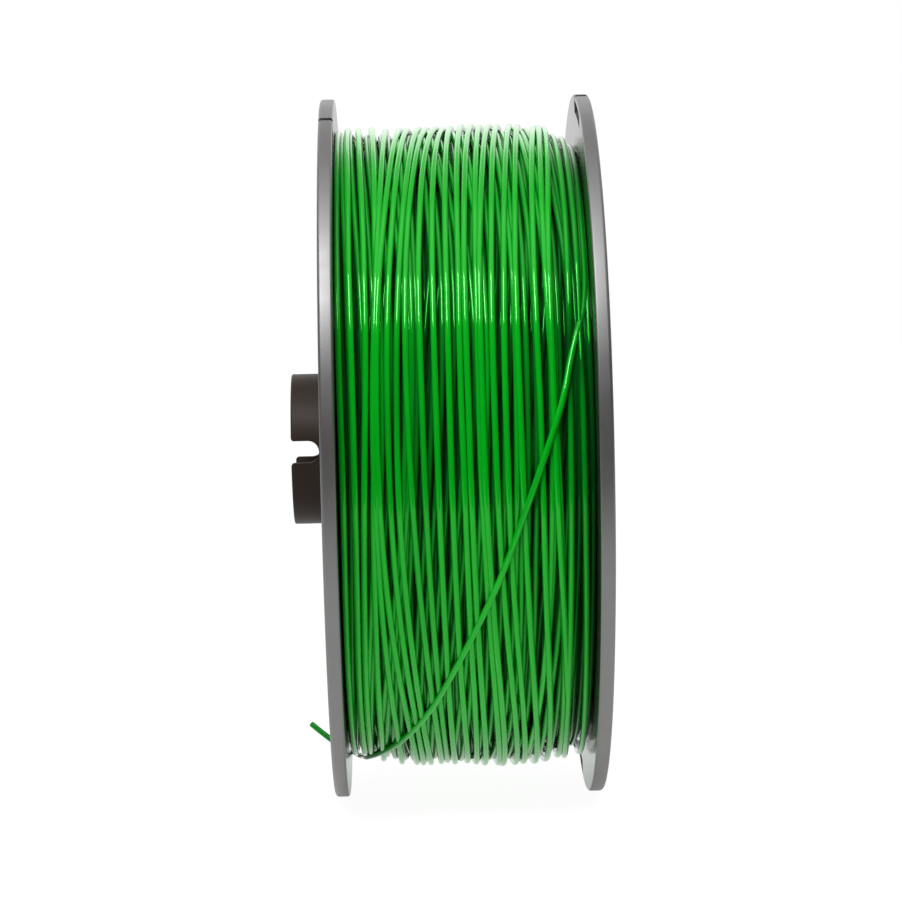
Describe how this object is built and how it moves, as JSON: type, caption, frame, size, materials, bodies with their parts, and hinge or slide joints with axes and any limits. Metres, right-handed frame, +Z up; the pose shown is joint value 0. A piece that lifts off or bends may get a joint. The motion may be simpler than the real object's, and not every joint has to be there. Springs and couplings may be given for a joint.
{
  "type": "wire spool",
  "caption": "Plastic spool with two round flanges on a hollow drum, wound with green plastic strand; it turns on a hub sleeve with a slotted collar.",
  "frame": {"origin": "on the spool's axis, midway between the flanges' inner faces", "axes": "+X along the axis towards the flange with the snap ring, away from the slotted collar; +Y away from the viewer of the picture; +Z up"},
  "size_m": [0.0863, 0.2, 0.2],
  "materials": {
    "flange_plastic": "semi-gloss dark grey, moulded",
    "drum_plastic": "satin dark grey, moulded",
    "sleeve_plastic": "dull brownish black, moulded",
    "strand_plastic": "glossy green, extruded"
  },
  "bodies": {
    "hub": {"hub_sleeve": "sleeve_plastic", "sleeve_snap_ring": "sleeve_plastic"},
    "reel": {"left_flange": "flange_plastic", "right_flange": "flange_plastic", "drum": "drum_plastic", "strand_inner_layers": "strand_plastic", "strand_outer_turns": "strand_plastic", "strand_tail": "strand_plastic"}
  },
  "joints": [
    {"name": "reel_turn", "type": "hinge", "parent": "hub", "child": "reel", "pos_m": [0, 0, 0], "axis": [1, 0, 0], "continuous": true}
  ]
}
